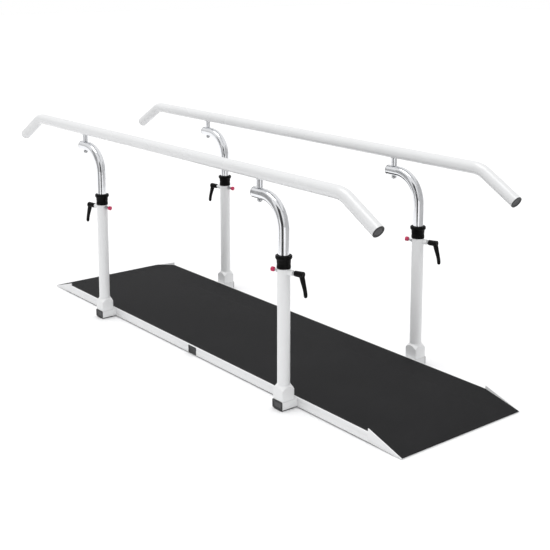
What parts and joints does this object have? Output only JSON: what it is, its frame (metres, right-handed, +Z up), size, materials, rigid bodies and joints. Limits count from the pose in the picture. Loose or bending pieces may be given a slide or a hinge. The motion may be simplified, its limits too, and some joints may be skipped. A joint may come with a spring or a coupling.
{
  "type": "walking parallel bars",
  "caption": "Walking parallel bars: two handrails on height and width adjustable posts along a ramped, rubber-covered platform.",
  "frame": {"origin": "on the floor, under the middle of the middle cross tube", "axes": "+X along the platform towards the front ramp, +Y to the left across it, +Z up"},
  "size_m": [2.797, 0.7968, 0.93],
  "materials": {
    "mat_rubber": "black ribbed non-slip rubber sheet",
    "board_plywood": "birch plywood",
    "frame_white": "white powder coat, fine texture",
    "rail_white": "white powder coat, smooth",
    "zinc_steel": "bright zinc plate",
    "cap_grey": "moulded polyethylene, dark grey",
    "pad_rubber": "moulded rubber",
    "brass_pad": "turned brass",
    "collar_black": "moulded nylon, fine texture",
    "bush_plastic": "natural acetal",
    "chrome_tube": "polished chrome plate",
    "lever_black": "glass-filled nylon, satin",
    "knob_red": "moulded red nylon"
  },
  "bodies": {
    "platform": {"walking_mat": "mat_rubber", "deck_boards_inner": "board_plywood", "deck_boards_outer": "board_plywood", "side_rail_left": "frame_white", "side_rail_right": "frame_white", "ramp_front": "frame_white", "ramp_rear": "frame_white", "board_screws": "zinc_steel", "ramp_screws": "zinc_steel", "cross_tube_front": "frame_white", "cross_tube_middle": "frame_white", "cross_tube_rear": "frame_white", "cross_tube_caps": "cap_grey", "foot_pads": "pad_rubber", "clamp_pads": "brass_pad", "plunger_sleeves": "zinc_steel", "post_socket_front_left": "frame_white", "upright_front_left": "frame_white", "collar_front_left": "collar_black", "post_socket_front_right": "frame_white", "upright_front_right": "frame_white", "collar_front_right": "collar_black", "post_socket_rear_left": "frame_white", "upright_rear_left": "frame_white", "collar_rear_left": "collar_black", "post_socket_rear_right": "frame_white", "upright_rear_right": "frame_white", "collar_rear_right": "collar_black"},
    "bush_front_left": {"guide_bush_front_left": "bush_plastic"},
    "gooseneck_front_left": {"gooseneck_front_left": "chrome_tube", "gooseneck_plug_front_left": "cap_grey"},
    "lever_screw_front_left": {"lever_screw_front_left": "zinc_steel"},
    "lever_handle_front_left": {"lever_handle_front_left": "lever_black"},
    "index_pin_front_left": {"index_pin_front_left": "knob_red"},
    "bush_front_right": {"guide_bush_front_right": "bush_plastic"},
    "gooseneck_front_right": {"gooseneck_front_right": "chrome_tube", "gooseneck_plug_front_right": "cap_grey"},
    "lever_screw_front_right": {"lever_screw_front_right": "zinc_steel"},
    "lever_handle_front_right": {"lever_handle_front_right": "lever_black"},
    "index_pin_front_right": {"index_pin_front_right": "knob_red"},
    "bush_rear_left": {"guide_bush_rear_left": "bush_plastic"},
    "gooseneck_rear_left": {"gooseneck_rear_left": "chrome_tube", "gooseneck_plug_rear_left": "cap_grey"},
    "lever_screw_rear_left": {"lever_screw_rear_left": "zinc_steel"},
    "lever_handle_rear_left": {"lever_handle_rear_left": "lever_black"},
    "index_pin_rear_left": {"index_pin_rear_left": "knob_red"},
    "bush_rear_right": {"guide_bush_rear_right": "bush_plastic"},
    "gooseneck_rear_right": {"gooseneck_rear_right": "chrome_tube", "gooseneck_plug_rear_right": "cap_grey"},
    "lever_screw_rear_right": {"lever_screw_rear_right": "zinc_steel"},
    "lever_handle_rear_right": {"lever_handle_rear_right": "lever_black"},
    "index_pin_rear_right": {"index_pin_rear_right": "knob_red"},
    "handrail_left": {"handrail_left": "rail_white", "handrail_plugs_left": "cap_grey", "pivot_studs_left": "chrome_tube", "pivot_nuts_left": "zinc_steel"},
    "handrail_right": {"handrail_right": "rail_white", "handrail_plugs_right": "cap_grey", "pivot_studs_right": "chrome_tube", "pivot_nuts_right": "zinc_steel"}
  },
  "joints": [
    {"name": "swing_front_left", "type": "hinge", "parent": "platform", "child": "bush_front_left", "pos_m": [0.692, 0.3625, 0.593], "axis": [0, 0, 1], "range_deg": [-90, 90]},
    {"name": "height_front_left", "type": "slide", "parent": "bush_front_left", "child": "gooseneck_front_left", "axis": [0, 0, 1], "range_m": [-0.05, 0.15]},
    {"name": "lever_turn_front_left", "type": "hinge", "parent": "platform", "child": "lever_screw_front_left", "pos_m": [0.74996, 0.37803, 0.548], "axis": [0.9659, 0.2588, 0], "range_deg": [0, 120]},
    {"name": "lever_lift_front_left", "type": "slide", "parent": "lever_screw_front_left", "child": "lever_handle_front_left", "axis": [0.9659, 0.2588, 0], "range_m": [0, 0.004], "stiffness_N_per_m": 800, "springref_m": -0.004},
    {"name": "pin_push_front_left", "type": "slide", "parent": "platform", "child": "index_pin_front_left", "axis": [0.9659, 0.2588, 0], "range_m": [0, 0.0035]},
    {"name": "swing_front_right", "type": "hinge", "parent": "platform", "child": "bush_front_right", "pos_m": [0.692, -0.3625, 0.593], "axis": [0, 0, -1], "range_deg": [-90, 90]},
    {"name": "height_front_right", "type": "slide", "parent": "bush_front_right", "child": "gooseneck_front_right", "axis": [0, 0, 1], "range_m": [-0.05, 0.15]},
    {"name": "lever_turn_front_right", "type": "hinge", "parent": "platform", "child": "lever_screw_front_right", "pos_m": [0.74996, -0.34697, 0.548], "axis": [0.9659, 0.2588, 0], "range_deg": [0, 120]},
    {"name": "lever_lift_front_right", "type": "slide", "parent": "lever_screw_front_right", "child": "lever_handle_front_right", "axis": [0.9659, 0.2588, 0], "range_m": [0, 0.004], "stiffness_N_per_m": 800, "springref_m": -0.004},
    {"name": "pin_push_front_right", "type": "slide", "parent": "platform", "child": "index_pin_front_right", "axis": [0.9659, 0.2588, 0], "range_m": [0, 0.0035]},
    {"name": "swing_rear_left", "type": "hinge", "parent": "platform", "child": "bush_rear_left", "pos_m": [-0.692, 0.3625, 0.593], "axis": [0, 0, 1], "range_deg": [-90, 90]},
    {"name": "height_rear_left", "type": "slide", "parent": "bush_rear_left", "child": "gooseneck_rear_left", "axis": [0, 0, 1], "range_m": [-0.05, 0.15]},
    {"name": "lever_turn_rear_left", "type": "hinge", "parent": "platform", "child": "lever_screw_rear_left", "pos_m": [-0.74996, 0.34697, 0.548], "axis": [-0.9659, -0.2588, 0], "range_deg": [0, 120]},
    {"name": "lever_lift_rear_left", "type": "slide", "parent": "lever_screw_rear_left", "child": "lever_handle_rear_left", "axis": [-0.9659, -0.2588, 0], "range_m": [0, 0.004], "stiffness_N_per_m": 800, "springref_m": -0.004},
    {"name": "pin_push_rear_left", "type": "slide", "parent": "platform", "child": "index_pin_rear_left", "axis": [-0.9659, -0.2588, 0], "range_m": [0, 0.0035]},
    {"name": "swing_rear_right", "type": "hinge", "parent": "platform", "child": "bush_rear_right", "pos_m": [-0.692, -0.3625, 0.593], "axis": [0, 0, -1], "range_deg": [-90, 90]},
    {"name": "height_rear_right", "type": "slide", "parent": "bush_rear_right", "child": "gooseneck_rear_right", "axis": [0, 0, 1], "range_m": [-0.05, 0.15]},
    {"name": "lever_turn_rear_right", "type": "hinge", "parent": "platform", "child": "lever_screw_rear_right", "pos_m": [-0.74996, -0.37803, 0.548], "axis": [-0.9659, -0.2588, 0], "range_deg": [0, 120]},
    {"name": "lever_lift_rear_right", "type": "slide", "parent": "lever_screw_rear_right", "child": "lever_handle_rear_right", "axis": [-0.9659, -0.2588, 0], "range_m": [0, 0.004], "stiffness_N_per_m": 800, "springref_m": -0.004},
    {"name": "pin_push_rear_right", "type": "slide", "parent": "platform", "child": "index_pin_rear_right", "axis": [-0.9659, -0.2588, 0], "range_m": [0, 0.0035]},
    {"name": "rail_turn_left", "type": "hinge", "parent": "gooseneck_front_left", "child": "handrail_left", "pos_m": [0.544, 0.3625, 0.825], "axis": [0, 0, 1], "range_deg": [-90, 90]},
    {"name": "rail_turn_right", "type": "hinge", "parent": "gooseneck_front_right", "child": "handrail_right", "pos_m": [0.544, -0.3625, 0.825], "axis": [0, 0, -1], "range_deg": [-90, 90]}
  ],
  "couplings": [
    {"joint": "swing_rear_left", "follows": "swing_front_left", "ratio": 1},
    {"joint": "height_rear_left", "follows": "height_front_left", "ratio": 1},
    {"joint": "rail_turn_left", "follows": "swing_front_left", "ratio": -1},
    {"joint": "swing_rear_right", "follows": "swing_front_right", "ratio": 1},
    {"joint": "height_rear_right", "follows": "height_front_right", "ratio": 1},
    {"joint": "rail_turn_right", "follows": "swing_front_right", "ratio": -1}
  ]
}
